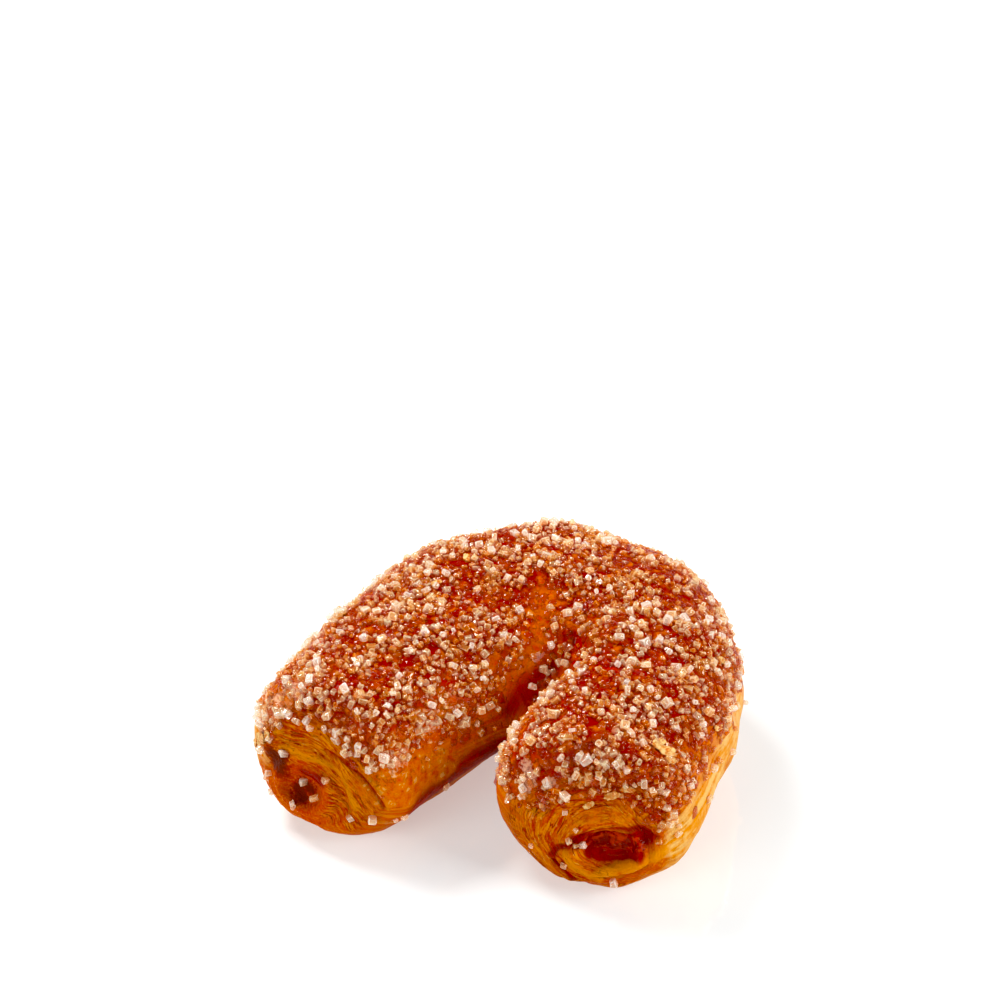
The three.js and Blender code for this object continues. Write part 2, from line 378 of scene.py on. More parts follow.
def makeCrustMaterial(look):
    fixed = {
        "IOR": 1.35, "Specular IOR Level": 0.08, "Specular Tint": (1.0, 0.7, 0.4, 1),
        "Coat Roughness": 0.05, "Coat IOR": 1.35,
    }
    material, sheet, shader = newMaterial("crustBaked", fixed, look["colours"])
    skin = readSkin(sheet, look)
    colour = paintTop(sheet, skin, paintSide(sheet, skin, look["heights"]), look["heights"])
    colour = paintMarks(sheet, skin, paintTips(sheet, skin, colour, look["eyeStarts"]), look["heights"])
    glazed = sheet.ease(skin.baked, *look["heights"]["glaze"]) * (1 - skin.onTip * 0.8)
    glossy = sheet.function("MAXIMUM", glazed, skin.jammy)
    wet = sheet.ease(skin.glassy + sway(skin.mottle, 0.6), 0.4, 0.9)
    folded = (skin.threads * 0.9 - skin.broadLine * 0.8 - skin.threadLine * 0.3) * skin.lined
    folded = folded + skin.fibres * skin.fibrous * 0.5
    streaked = (skin.strands * 0.6 - skin.strandLine * 0.2) * (1 - glazed) * (1 - skin.onTip)
    height = folded + streaked + skin.mottle * (1.6 - skin.onTip * 0.9) + skin.blobs * 1.5
    lines = bumpOf(sheet, height, look["bump"]["lines"])
    feed(sheet, shader, {
        "Base Color": colour, "Roughness": 0.45 - glossy * 0.2 + sway(skin.fine, 0.2) - skin.char * 0.1,
        "Coat Weight": glazed * 0.12 + skin.jammy * 0.15 + wet * 0.4,
        "Normal": bumpOf(sheet, skin.fine, look["bump"]["fine"], 0.9, Normal=lines),
    })
    return material


def makeSugarMaterial(name, look):
    # the grains glow a little in their own colour: a painted glow for light scattered inside the sugar
    fixed = {
        "IOR": 1.5, "Specular IOR Level": look["gloss"], "Transmission Weight": look["clear"],
        "Emission Strength": look["glow"],
    }
    material, sheet, shader = newMaterial(name, fixed, look)
    place = sheet.place()
    rim = sheet.attribute("rim")
    inner = sheet.noise(place, 0.0011, 2, 0.5)
    frost = sheet.noise(place, 0.0004, 2, 0.6)
    # grains are painted paler where that mark lies: sugar dust, and painted light on the lit left edge
    frosted = sheet.ease(sheet.attribute("frosted"), 0.15, 0.7)
    # the bevelled rims are painted lighter by rimLight, a painted highlight on the grains' edges
    shade = sheet.attribute("tone") + sway(inner, 0.7) - rim * look["rimLight"] - frosted * 0.45
    stops = [(0.0, look["light"]), (0.5, look["middle"]), (1.0, look["dark"])]
    rooted = sheet.ease(sheet.attribute("depth") + sway(inner, 0.6), 1.2, 0.1) * look["rooted"]
    colour = sheet.add("ShaderNodeValToRGB", {"stops": stops}, {0: shade})
    colour = sheet.mix(rooted * (1 - frosted * 0.5), colour, "root")
    feed(sheet, shader, {
        "Base Color": colour, "Roughness": look["roughness"] + sway(frost, 0.25),
        "Normal": bumpOf(sheet, frost, 0.00006, 0.7),
        "Alpha": look["solid"] + rim * look["rimSolid"] + sway(inner, 0.3), "Emission Color": colour,
    })
    return material


rollShape = {  # millimetres; the same driving values as the solid's
    "left": 96.8, "right": 86.7, "bend": 47.1, "arcShare": 0.3, "turn": math.radians(77.2),
    "drift": math.radians(0.08), "step": 0.25, "halfWidth": (30, 23.6), "height": (47.3, 40.8),
    "taper": 93, "waist": 0.42, "crown": 2.2, "belly": 1.85, "sink": 1.2, "valley": (10, 3),
    "valleyFades": 38, "crease": {"shift": 9, "y": -30, "along": 18, "across": 20}, "low": 5, "high": 30,
    "tipLength": 13.3, "blunt": 2.4, "lean": 0.17, "face": 0.62, "folds": 2, "foldDepth": 0.8,
    "eyeShare": 0.3, "eyeDepth": 3, "eyes": {-1: (3, 13.7), 1: (9, 14.8)},
    "dents": (  # place, radius and depth
        (14, -33.5, 4.5, 4.2), (18.5, -25, 6, -2.4), (-12.6, 8, 6, 1.6), (-30, -30, 9, 1.2),
        (36, -38, 8, -1),
    ),
    "waves": (  # across, push, length and reach
        ((0.8, 0.5, 0.3), (0.3, 0.6, 0.7), 31, 0.8),
        ((-0.4, 0.9, 0.2), (0.8, -0.3, 0.5), 23, 0.6),
        ((0.6, -0.3, 0.8), (-0.4, 0.8, 0.4), 17, 0.4),
    ),
    "flatBelow": 9, "fused": 14, "free": 7, "tip": 14, "bendTop": (0.4, 27.1, 0),
}
crustMesh = {"fused": 84, "free": 34, "tip": 92, "columns": 224, "girth": 75}  # rings, and girth in mm


def lerp(low, high, share):
    return low + (high - low) * share


def ease(value, low, high):
    share = np.clip((value - low) / (high - low), 0, 1)
    return share * share * (3 - 2 * share)


def bell(distance):
    return np.exp(-(distance ** 2))


def headingAt(length, roll=rollShape):
    share = np.minimum(length / roll["bend"], 1)
    straightening = np.maximum(share - roll["arcShare"], 0) ** 2 / (2 * (1 - roll["arcShare"]))
    turned = (share - straightening) * (2 / (1 + roll["arcShare"]))
    return roll["turn"] * turned + roll["drift"] * np.maximum(length - roll["bend"], 0)


def traceMiddle(roll=rollShape):
    steps = np.arange(roll["step"] / 2, roll["left"] + 2 * roll["step"], roll["step"])
    heading = headingAt(steps)
    strides = np.stack([np.cos(heading), -np.sin(heading)], 1) * roll["step"]
    return np.vstack([[0, 0], np.cumsum(strides, 0)])


middleLine = traceMiddle()


def middleAt(length, roll=rollShape):
    marks = np.arange(len(middleLine)) * roll["step"]
    return np.interp(length, marks, middleLine[:, 0]), np.interp(length, marks, middleLine[:, 1])


def reachAt(length, roll=rollShape):
    start = np.maximum(length, roll["step"])
    return middleAt(start)[0] / np.sin(headingAt(start))


arcLength = rollShape["arcShare"] * rollShape["bend"]


def taperAt(length, roll=rollShape):
    return (np.maximum(length - arcLength, 0) / (roll["taper"] - arcLength)) ** 2


def valleyAt(length, roll=rollShape):
    return lerp(*roll["valley"], ease(length, arcLength, roll["valleyFades"]))


def findCrotch(roll=rollShape):
    near, far = 0.0, float(roll["right"])
    while far - near > 1e-9:
        middle = (near + far) / 2
        touches = reachAt(middle) - valleyAt(middle) / 2 < lerp(*roll["halfWidth"], taperAt(middle))
        near, far = (middle, far) if touches else (near, middle)
    return near


crotch = findCrotch()


def sectionAt(length, around, roll=rollShape):
    halfWidth = lerp(*roll["halfWidth"], taperAt(length))
    height = lerp(*roll["height"], taperAt(length))
    waist = roll["waist"] * height
    reach = reachAt(length)
    soft = valleyAt(length)
    above = around < 0.5
    squareness = np.where(above, roll["crown"], roll["belly"])
    rise = np.where(above, height - waist, -(waist + roll["sink"]))
    opened = np.minimum((reach - soft / 2) / halfWidth, 1)
    innerAngle = math.pi - np.arccos(opened ** (squareness / 2))
    angle = innerAngle * np.abs(2 * around - 1)
    cosine, sine = np.cos(angle), np.sin(angle)
    across = np.sign(cosine) * np.abs(cosine) ** (2 / squareness) * halfWidth
    up = waist + rise * np.abs(sine) ** (2 / squareness)
    bedded = reach - np.sqrt(np.maximum(2 * soft * (reach - soft / 2 + across), 0))
    return np.where(reach + across < soft, -bedded, across), np.maximum(up, 0)


def settle(points, roll=rollShape):
    x, y, z = points[..., 0].copy(), points[..., 1].copy(), points[..., 2].copy()
    crease = roll["crease"]
    loose = ease(z, 0, roll["flatBelow"])
    raised = ease(z, roll["low"], roll["high"])
    leaning = bell((y - crease["y"]) / crease["along"]) * bell(x / crease["across"])
    points[..., 0] += crease["shift"] * leaning * raised
    for dentX, dentY, radius, depth in roll["dents"]:
        near = bell(np.hypot(points[..., 0] - dentX, y - dentY) / radius)
        points[..., 2] -= depth * near * ease(points[..., 2], roll["low"], roll["high"])
    for across, push, length, reach in roll["waves"]:
        swing = reach * np.sin(2 * math.pi / length * (across[0] * x + across[1] * y + across[2] * z))
        points[..., 0] += push[0] * swing
        points[..., 1] += push[1] * swing
        points[..., 2] += push[2] * swing * loose
    return points


def skinAt(side, ring, around, roll=rollShape):  # metres
    ring, around = np.broadcast_arrays(np.asarray(ring, float), np.asarray(around, float))
    arm = roll["left"] if side < 0 else roll["right"]
    outward, level = roll["eyes"][side]
    onArm = np.clip((ring - roll["fused"]) / roll["free"], 0, 1)
    freeLength = lerp(crotch, arm - roll["tipLength"], onArm)
    length = np.where(ring < roll["fused"], crotch * ring / roll["fused"], freeLength)
    across, up = sectionAt(length, around)
    angle = math.pi / 2 * np.clip((ring - roll["fused"] - roll["free"]) / roll["tip"], 0, 1)
    share = np.maximum(np.cos(angle), 0) ** (2 / roll["blunt"])
    onTip = np.sin(angle) ** (2 / roll["blunt"])
    across, up = lerp(outward, across, share), lerp(level, up, share)
    onFace = ease(roll["face"] - share, 0, roll["face"] / 3)
    fold = roll["foldDepth"] * np.cos(2 * math.pi * roll["folds"] * share / roll["face"]) * onFace
    sunken = roll["eyeDepth"] * (1 - ease(share, 0, roll["eyeShare"]))
    lean = roll["lean"] * (level - up) * np.sin(angle)
    forward = roll["tipLength"] * onTip + lean + fold - sunken
    heading = headingAt(length)
    middleX, middleY = middleAt(length)
    x = side * (middleX + across * np.sin(heading) + forward * np.cos(heading))
    y = middleY + across * np.cos(heading) - forward * np.sin(heading)
    return (settle(np.stack([x, y, up], -1)) + roll["bendTop"]) * 0.001


def ringOf(side, length=None, cap=None, roll=rollShape):  # from mm along an arm, or degrees on a tip
    if cap is not None:
        return roll["fused"] + roll["free"] + roll["tip"] * cap / 90
    if length < crotch:
        return roll["fused"] * length / crotch
    arm = roll["left"] if side < 0 else roll["right"]
    return roll["fused"] + roll["free"] * (length - crotch) / (arm - roll["tipLength"] - crotch)


def standAt(side, ring, around):  # a point of the skin and the way out of it
    little = 0.02
    spot = Vector(skinAt(side, ring, around))
    along = Vector(skinAt(side, ring + little, around)) - spot
    turning = Vector(skinAt(side, ring, around + little)) - spot
    return spot, (along.cross(turning) * side).normalized()


# Marks on the skin: the side, the kind of place, half the width in mm, the strength or the height in mm,
# and a line of places, each in mm along the arm or degrees round its tip, with the share of the way around.
crustMarks = {
    "burnt": (
        (-1, "cap", 2.6, 1.1, ((64, 0.435), (70, 0.431))),
        (-1, "cap", 2.6, 1.2, ((71, 0.385), (76, 0.40))),
        (-1, "cap", 2.1, 1.3, ((87, 0.12), (89, 0.5), (86, 0.75))),
        (1, "cap", 1.3, 0.7, ((83, 0.06), (87, 0.26), (83, 0.37))),
        (1, "cap", 1.3, 0.6, ((68, 0.45),)),
    ),
    "bare": (
        (-1, "cap", 5.5, 1.2, ((46, 0.05), (18, 0.03))),
        (-1, "length", 5.0, 1.2, ((80, 0.04), (74, 0.02))),
    ),
    "paler": (
        (1, "length", 5.5, 1.1, ((36, 0.475), (46, 0.475), (56, 0.48), (66, 0.48), (76, 0.475))),
        (1, "cap", 4.5, 1.1, ((6, 0.47), (22, 0.475), (36, 0.49))),
        (-1, "cap", 3.5, 0.6, ((60, 0.47), (45, 0.49), (25, 0.49))),
    ),
    "ambered": (
        (-1, "length", 4.6, 1.0, ((14, 0.03), (30, 0.05), (44, 0.06), (56, 0.10))),
        (1, "length", 4.0, 0.9, ((4, 0.0), (18, 0.01))),
    ),
    # Painted shade: the band low on the left arm's inner side, the pit and the creases near the crotch are
    # painted darker as shade. The bands on the tips are the glaze's own dark red-brown.
    "shaded": (
        (-1, "length", 5.5, 1.0, ((82, 0.965), (72, 0.975), (60, 0.985), (48, 0.99))),
        (1, "length", 3.4, 1.1, ((27, 0.004), (33, 0.02), (38, 0.05))),
        (-1, "length", 2.2, 1.0, ((37, 0.004), (42.5, 0.008), (48, 0.0))),
        (1, "length", 1.6, 0.8, ((42, 0.11), (50, 0.18), (50, 0.21), (49.3, 0.25))),
        (-1, "cap", 2.6, 0.9, ((43, 0.287), (50, 0.131))),
        (1, "cap", 2.6, 0.95, (
            (54, 0.10), (58, 0.17), (61, 0.244), (59, 0.295), (54, 0.35), (46, 0.40),
        )),
        (1, "cap", 3.8, 0.9, ((26, 0.11), (38, 0.12), (44, 0.17))),
    ),
    # The last two lines are pale sugar dust near the left tip; the rest is painted light along the left
    # arm's lit outer edge and rim, and a painted highlight on the wet glaze of the right tip.
    "frosted": (
        (-1, "length", 5.0, 0.8, ((30, 0.37), (50, 0.39), (72, 0.41))),
        (-1, "cap", 5.0, 0.9, ((10, 0.41), (34, 0.43))),
        (-1, "cap", 4.0, 1.1, (
            (1, 0.304), (14, 0.311), (26, 0.323), (34, 0.351), (38, 0.384), (41, 0.425),
        )),
        (1, "cap", 2.8, 0.95, ((29, 0.12), (40, 0.11), (40, 0.08))),
        (1, "cap", 2.2, 0.9, ((47, 0.149),)),
        (-1, "cap", 4.0, 0.8, ((16, 0.075), (2, 0.085))),
        (-1, "length", 5.0, 0.6, ((76, 0.09), (66, 0.12))),
    ),
    "glassy": (
        (1, "length", 4.0, 1.1, ((27, 0.004), (33, 0.02), (38, 0.05))),
        (1, "length", 1.6, 0.8, ((42, 0.11), (50, 0.18), (50, 0.21), (49.3, 0.25))),
        (1, "length", 3.0, 0.5, ((4, 0.0), (18, 0.01))),
        (-1, "length", 3.6, 0.6, ((14, 0.03), (30, 0.045))),
        (-1, "length", 4.0, 0.85, ((30, 0.045), (46, 0.045), (58, 0.05))),
        (1, "cap", 3.5, 1.0, ((22, 0.11), (44, 0.16))),
        (-1, "cap", 3.0, 0.8, ((44, 0.30), (50, 0.14))),
    ),
    "jammy": (
        (1, "cap", 2.5, 1.2, ((77, 0.04), (84, 0.08), (87, 0.26), (80, 0.38), (70, 0.43))),
        (1, "cap", 2.2, 1.2, ((82, 0.95), (88, 0.75), (86, 0.5), (77, 0.47))),
        (1, "cap", 1.2, 0.9, ((64, 0.93), (70, 0.98), (77, 0.04))),
        (1, "cap", 0.9, 0.8, ((66, 0.89), (60, 0.84), (52, 0.79))),
        (-1, "cap", 2.4, 1.0, ((80, 0.22), (80, 0.16), (77, 0.12))),
    ),
    "sunken": (
        (1, "length", 3.0, 1.0, ((31, 0.012),)),
        (1, "length", 4.0, 0.8, ((46, 0.02), (52, 0.02))),
        (-1, "length", 4.0, 0.8, ((46, 0.02), (52, 0.02))),
        (-1, "cap", 0.6, 0.9, (
            (64, 0.2), (61, 0.163), (56, 0.1), (52, 0.069), (47, 0.038), (43, 0.019), (38, 0.0),
        )),
        (-1, "cap", 0.7, 0.5, (
            (76, 0.3), (76, 0.257), (74, 0.163), (72, 0.081), (68, 0.013), (63, 0.938),
        )),
        (-1, "cap", 0.8, 0.4, ((76, 0.725), (74, 0.807), (74, 0.888), (70, 0.969))),
        (1, "cap", 0.8, 1.1, (
            (74, 0.0), (76, 0.031), (79, 0.138), (79, 0.244), (74, 0.35), (65, 0.419), (57, 0.46),
        )),
        (1, "cap", 0.6, 0.6, ((54, 0.063), (61, 0.09), (65, 0.144), (68, 0.225), (65, 0.307))),
        (1, "cap", 0.8, 1.5, ((62, 0.9), (61, 0.857), (58, 0.813), (43, 0.757))),
        (1, "cap", 2.4, 1.3, ((84, 0.08), (87, 0.26), (80, 0.38), (68, 0.44))),
    ),
    "raised": (
        (-1, "cap", 1.2, 0.9, (
            (65, 0.369), (70, 0.307), (72, 0.238), (70, 0.175), (65, 0.1), (63, 0.025), (58, 0.975),
        )),
        (-1, "cap", 1.0, 0.6, ((58, 0.25), (53, 0.15), (44, 0.06), (34, 0.0))),
        (-1, "cap", 1.2, 0.7, ((52, 0.45), (54, 0.40), (56, 0.35))),
        (1, "cap", 1.6, 1.1, ((73, 0.95), (72, 0.9), (72, 0.83), (66, 0.75))),
        (1, "cap", 1.7, 1.1, ((70, 0.8), (80, 0.69), (78, 0.56), (64, 0.505), (52, 0.49))),
        (1, "cap", 1.1, 0.5, ((72, 0.12), (74, 0.22), (70, 0.32), (58, 0.41))),
        (1, "cap", 1.2, 0.4, ((50, 0.08), (57, 0.15), (60, 0.24), (56, 0.33))),
    ),
}
liningOf = {  # tip degrees where the layers start and stop to show, and the share around that shows most
    -1: {"band": (30, 46, 80, 70), "window": (-0.10, 0.40), "rest": 0.4},
    1: {"band": (24, 42, 84, 76), "window": (-0.30, 0.40), "rest": 0.45},
}
# The layers run round a tip's eye, and their millimetres are counted from there to its rim. On the left tip
# they bend less, round a place behind the eye, as far in metres from it as "away" says.
layersRun = {"onTip": 26, "bentLess": {-1: {"start": (65, 0.369), "end": (63, 0.025), "away": 0.016}}}
sugarReach = {  # shares around, metres up, and tip degrees, from bare to full; and the share on the bend
    "inner": (0.012, 0.08), "outer": (0.475, 0.40), "level": (0.013, 0.021),
    "tips": {-1: (58, 46), 1: (64, 54)}, "bend": 0.8,
}


def markMap(kind, points):
    strength = np.zeros(points.shape[:-1])
    for side, along, width, height, places in crustMarks[kind]:
        knots = np.array([(ringOf(side, **{along: place}), around) for place, around in places])
        knots[1:, 1] -= np.cumsum(np.round(np.diff(knots[:, 1])))  # the short way round
        steps = np.linspace(0, len(knots) - 1, 12 * (len(knots) - 1) + 1)
        rings, around = [np.interp(steps, range(len(knots)), column) for column in knots.T]
        gaps = [np.linalg.norm(points - spot, axis=-1) for spot in skinAt(side, rings, around % 1)]
        strength = np.maximum(strength, height * bell(np.min(gaps, axis=0) / (width * 0.001)))
    return strength


def layersMiddle(side, start, end, away):
    ends = [skinAt(side, ringOf(side, cap=cap), around) for cap, around in (start, end)]
    eye = skinAt(side, ringOf(side, cap=90), 0.0)
    along = (ends[1] - ends[0]) / np.linalg.norm(ends[1] - ends[0])
    towards = (ends[0] + ends[1]) / 2 - eye
    towards -= along * np.dot(towards, along)
    return eye - towards / np.linalg.norm(towards) * away


def layerMap(side, points, fineness=crustMesh, run=layersRun):  # millimetres across the dough's layers
    if side in run["bentLess"]:
        return np.linalg.norm(points - layersMiddle(side, **run["bentLess"][side]), axis=-1) * 1000
    gaps = np.linalg.norm(np.diff(points, axis=0), axis=-1)
    fromEye = np.vstack([np.cumsum(gaps[::-1], 0)[::-1], np.zeros((1, gaps.shape[1]))])
    rim = fromEye[fineness["fused"] + fineness["free"]]
    return np.minimum(fromEye / rim, 1) * run["onTip"] + np.maximum(fromEye - rim, 0) * 1000


def liningMap(cap, around, band, window, rest):
    turned = np.abs(around - np.mean(window))
    half = (window[1] - window[0]) / 2
    showing = lerp(rest, 1.0, ease(np.minimum(turned, 1 - turned), half + 0.06, half - 0.02))
    return ease(cap, *band[:2]) * ease(cap, *band[2:]) * showing


def sugarMap(side, rings, cap, around, up, roll=rollShape, reach=sugarReach):
    outer, level = ease(around, *reach["outer"]), ease(up, *reach["level"])
    strewn = ease(around, *reach["inner"]) * outer * level * ease(cap, *reach["tips"][side])
    onBend = ease(rings, roll["fused"] + 1, roll["fused"] * 0.5)
    return np.maximum(strewn, onBend * outer * level * reach["bend"])


def makeCrust(roll=rollShape, fineness=crustMesh):
    fused = np.linspace(0, roll["fused"], fineness["fused"], endpoint=False)
    free = np.linspace(roll["fused"], roll["fused"] + roll["free"], fineness["free"], endpoint=False)
    capped = roll["fused"] + roll["free"] + roll["tip"] * np.linspace(0, 1, fineness["tip"] + 1)
    rings = np.concatenate([fused, free, capped])[:, None]
    around = np.linspace(0, 1, fineness["columns"] + 1)[None, :]
    cap = np.clip((rings - roll["fused"] - roll["free"]) / roll["tip"], 0, 1) * 90
    shape = (len(rings), around.shape[1])
    index = np.arange(shape[0] * shape[1]).reshape(shape)
    quads = np.stack([index[:-1, :-1], index[1:, :-1], index[1:, 1:], index[:-1, 1:]], -1).reshape(-1, 4)
    vertices, values = [], []
    for side in (-1, 1):
        points = skinAt(side, rings, around)
        maps = {
            "layerBase": layerMap(side, points), "cap": cap,
            "girth": np.abs(2 * around - 1) * fineness["girth"],
            "lined": liningMap(cap, around, **liningOf[side]),
            "strewn": sugarMap(side, rings, cap, around, points[..., 2]),
            **{kind: markMap(kind, points) for kind in crustMarks},
        }
        vertices.append(points.reshape(-1, 3))
        values.append([np.broadcast_to(each, shape).ravel() for each in maps.values()])
    mesh = bpy.data.meshes.new("crustRaw")
    mesh.from_pydata(np.vstack(vertices), [], np.vstack([quads[:, ::-1], quads + index.size]))
    for name, column in zip(maps, np.hstack(values)):
        stored = mesh.attributes.new(name, "FLOAT", "POINT")
        stored.data.foreach_set("value", column.astype(np.float32))
    weld = bmesh.new()
    weld.from_mesh(mesh)
    bmesh.ops.remove_doubles(weld, verts=weld.verts, dist=2e-6)
    bmesh.ops.dissolve_degenerate(weld, edges=weld.edges, dist=1e-6)
    bpy.data.meshes.remove(mesh)
    openEdges = sum(not edge.is_manifold for edge in weld.edges)
    if weld.calc_volume(signed=True) < 0:
        bmesh.ops.reverse_faces(weld, faces=weld.faces)
    print("crust welded, open edges:", openEdges, "volume cm3:", round(weld.calc_volume() * 1e6, 1))
    return newPiece("crust", meshOf("crust", weld))


crustRelief = {  # metres, but the ledges' spacing in millimetres
    "Lump Height": 0.0005, "Blister Height": 0.00016, "Wrinkle Height": 0.00022,
    "Ledge Depth": 0.0006, "Ledge Spacing": 4.6, "Thread Depth": 0.0003, "Thread Spacing": 0.0016,
    "Crease Depth": 0.00012, "Strand Height": 0.00028,
}


def reliefTree():
    kinds = {**{label: "Float" for label in crustRelief}, "Material": "Material"}
    sheet, given = newTree("crustRelief", kinds)
    place = sheet.add("GeometryNodeInputPosition")
    height = sheet.add("ShaderNodeSeparateXYZ", None, {0: place}).output("Z")
    lined = sheet.named("lined")
    lowSide = sheet.ease(height, 0.032, 0.022) * sheet.ease(height, 0.0, 0.004)
    lumps = sway(sheet.noise(place, 0.011, 1), 2) * given["Lump Height"]
    strands = sheet.strata(place, sheet.named("girth"), 0.018, 0.0022, 2)
    lumps = lumps + (strands - 0.5) * given["Strand Height"] * lowSide
    blisters = sway(sheet.noise(place, 0.0024, 2, 0.6), 2) * given["Blister Height"] * lowSide
    wrinkles = sway(sheet.noise(place, 0.0021, 2, 0.6, 0.8), 2) * given["Wrinkle Height"] * (1 - lowSide)
    warp = sway(sheet.noise(place, 0.018, 1), 7) + sway(sheet.noise(place, 0.006, 1), 1.0)
    layer = sheet.named("layerBase") + warp
    share = sheet.function("FRACT", layer / given["Ledge Spacing"])
    ledge = sheet.function("MINIMUM", share / 0.16, (1 - share) / 0.84)  # a steep side and a slow one
    uneven = sheet.ease(sheet.noise(place, 0.008, 1), 0.4, 0.62)
    strata = sheet.strata(place, layer, 0.012, given["Thread Spacing"], 2)
    threads = sway(strata, 2) * given["Thread Depth"] - sheet.creaseOf(strata, 0.05) * given["Crease Depth"]
    layered = ((ledge - 0.5) * given["Ledge Depth"] * uneven + threads) * lined
    marks = (sheet.named("raised") - sheet.named("sunken")) * 0.001
    raised = lumps + blisters + wrinkles * (1 - lined) + layered + marks
    raised = raised * sheet.ease(height, 0.0002, 0.003)  # the sole stays flat
    out = sheet.add("GeometryNodeInputNormal") * raised
    moved = sheet.add("GeometryNodeSetPosition", None, {"Geometry": given["Geometry"], "Offset": out})
    for name, value in (("layer", layer), ("relief", raised * 1000)):
        moved = sheet.store(moved, name, value)
    endTree(sheet, moved, given["Material"])
    return sheet


crust = makeCrust()
runTree(crust, reliefTree(), {**crustRelief, "Material": makeCrustMaterial(crustLook)})
finishPiece(crust)
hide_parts("brioche")


grainKinds = {  # metres, grains per square metre, and how the clump pattern goes from bare to full
    "sugarMelted": {
        "Spacing": 0.0017, "Density": 700000, "Smallest": 0.0018, "Largest": 0.0030, "Lowest": -0.0006,
        "Highest": -0.0002, "Clump Size": 0.005, "Bare Below": 0.30, "Full Above": 0.46, "Seed": 13,
    },
    "sugarClear": {
        "Spacing": 0.0013, "Density": 1000000, "Smallest": 0.0010, "Largest": 0.0018, "Lowest": -0.0002,
        "Highest": 0.0005, "Clump Size": 0.006, "Bare Below": 0.38, "Full Above": 0.52, "Seed": 3,
    },
    "sugarUpper": {
        "Spacing": 0.0025, "Density": 190000, "Smallest": 0.0012, "Largest": 0.0020, "Lowest": 0.0006,
        "Highest": 0.0013, "Clump Size": 0.006, "Bare Below": 0.46, "Full Above": 0.60, "Seed": 8,
    },
    "sugarFine": {
        "Spacing": 0.0016, "Density": 300000, "Smallest": 0.0007, "Largest": 0.0012, "Lowest": 0.0,
        "Highest": 0.0006, "Clump Size": 0.005, "Bare Below": 0.40, "Full Above": 0.6, "Seed": 5,
    },
}
# glow is a painted glow: emission in the grain's own colour, for light scattered inside
sugarLooks = {
    "sugarMelted": {
        "light": (0.82, 0.28, 0.03), "middle": (0.67, 0.11, 0.003), "dark": (0.51, 0.030, 0.0005),
        "root": (0.37, 0.007, 0.0001), "rooted": 0.72, "solid": 0.55, "rimSolid": 0.0, "clear": 0.4,
        "gloss": 0.35, "roughness": 0.16, "glow": 0.06, "rimLight": 0.1,
    },
    "sugarClear": {
        "light": (0.95, 0.79, 0.52), "middle": (0.90, 0.52, 0.17), "dark": (0.81, 0.24, 0.017),
        "root": (0.58, 0.035, 0.0005), "rooted": 0.75, "solid": 0.57, "rimSolid": 0.22, "clear": 0.52,
        "gloss": 0.8, "roughness": 0.05, "glow": 0.11, "rimLight": 0.28,
    },
    "sugarUpper": {
        "light": (1.0, 0.95, 0.86), "middle": (0.98, 0.81, 0.56), "dark": (0.93, 0.57, 0.23),
        "root": (0.78, 0.23, 0.02), "rooted": 0.6, "solid": 0.57, "rimSolid": 0.25, "clear": 0.52,
        "gloss": 0.9, "roughness": 0.04, "glow": 0.12, "rimLight": 0.3,
    },
    "sugarFine": {
        "light": (0.93, 0.60, 0.27), "middle": (0.85, 0.36, 0.06), "dark": (0.73, 0.16, 0.006),
        "root": (0.50, 0.027, 0.0003), "rooted": 0.75, "solid": 0.6, "rimSolid": 0.22, "clear": 0.4,
        "gloss": 0.7, "roughness": 0.08, "glow": 0.10, "rimLight": 0.28,
    },
}
grainShapes = {  # for a grain of one unit across
    "count": 13, "seed": 21, "squash": 0.36, "skew": 0.1, "bevel": 0.17, "jitter": 0.085,
    "melted": {"size": 1.05, "bevel": 0.3, "flat": 0.6, "bumpy": 0.24},
}


def bevelGrain(grain, size):
    edges = list(grain.edges)
    return bmesh.ops.bevel(grain, geom=edges, offset=size, segments=1, affect="EDGES", profile=0.5)


def squashes(dice, shape, count):
    return [dice.uniform(1 - shape["squash"], 1 + shape["squash"]) for _ in range(count)]


def keepShape(shapes, grain, smooth=True):
    bmesh.ops.recalc_face_normals(grain, faces=grain.faces)
    shapes.objects.link(bpy.data.objects.new("grain", meshOf("grain", grain, smooth)))


def makeSharpGrains(shape):
    dice = random.Random(shape["seed"])
    shapes = bpy.data.collections.new("sharpGrains")
    for number in range(shape["count"]):
        grain = bmesh.new()
        bmesh.ops.create_cube(grain, size=1)
        for vertex in grain.verts:
            vertex.co += Vector([dice.uniform(-shape["skew"], shape["skew"]) for _ in range(3)])
        rim = grain.faces.layers.float.new("rim")
        for face in bevelGrain(grain, shape["bevel"] * dice.uniform(0.6, 1.5))["faces"]:
            face[rim] = 1.0
        bmesh.ops.scale(grain, vec=squashes(dice, shape, 3), verts=grain.verts)
        for vertex in grain.verts:
            vertex.co += Vector([dice.uniform(-1, 1) * shape["jitter"] for _ in range(3)])
        keepShape(shapes, grain, number % 3 > 0)  # every third one is faceted
    return shapes


def makeMeltedGrains(shape):
    melted = shape["melted"]
    dice = random.Random(shape["seed"] + 1)
    shapes = bpy.data.collections.new("meltedGrains")
    for _ in range(shape["count"]):
        grain = bmesh.new()
        bmesh.ops.create_cube(grain, size=melted["size"])
        bevelGrain(grain, melted["bevel"])
        for vertex in grain.verts:
            vertex.co *= 1 + dice.uniform(-1, 1) * melted["bumpy"]
        bmesh.ops.scale(grain, vec=(*squashes(dice, shape, 2), melted["flat"]), verts=grain.verts)
        keepShape(shapes, grain)
    return shapes


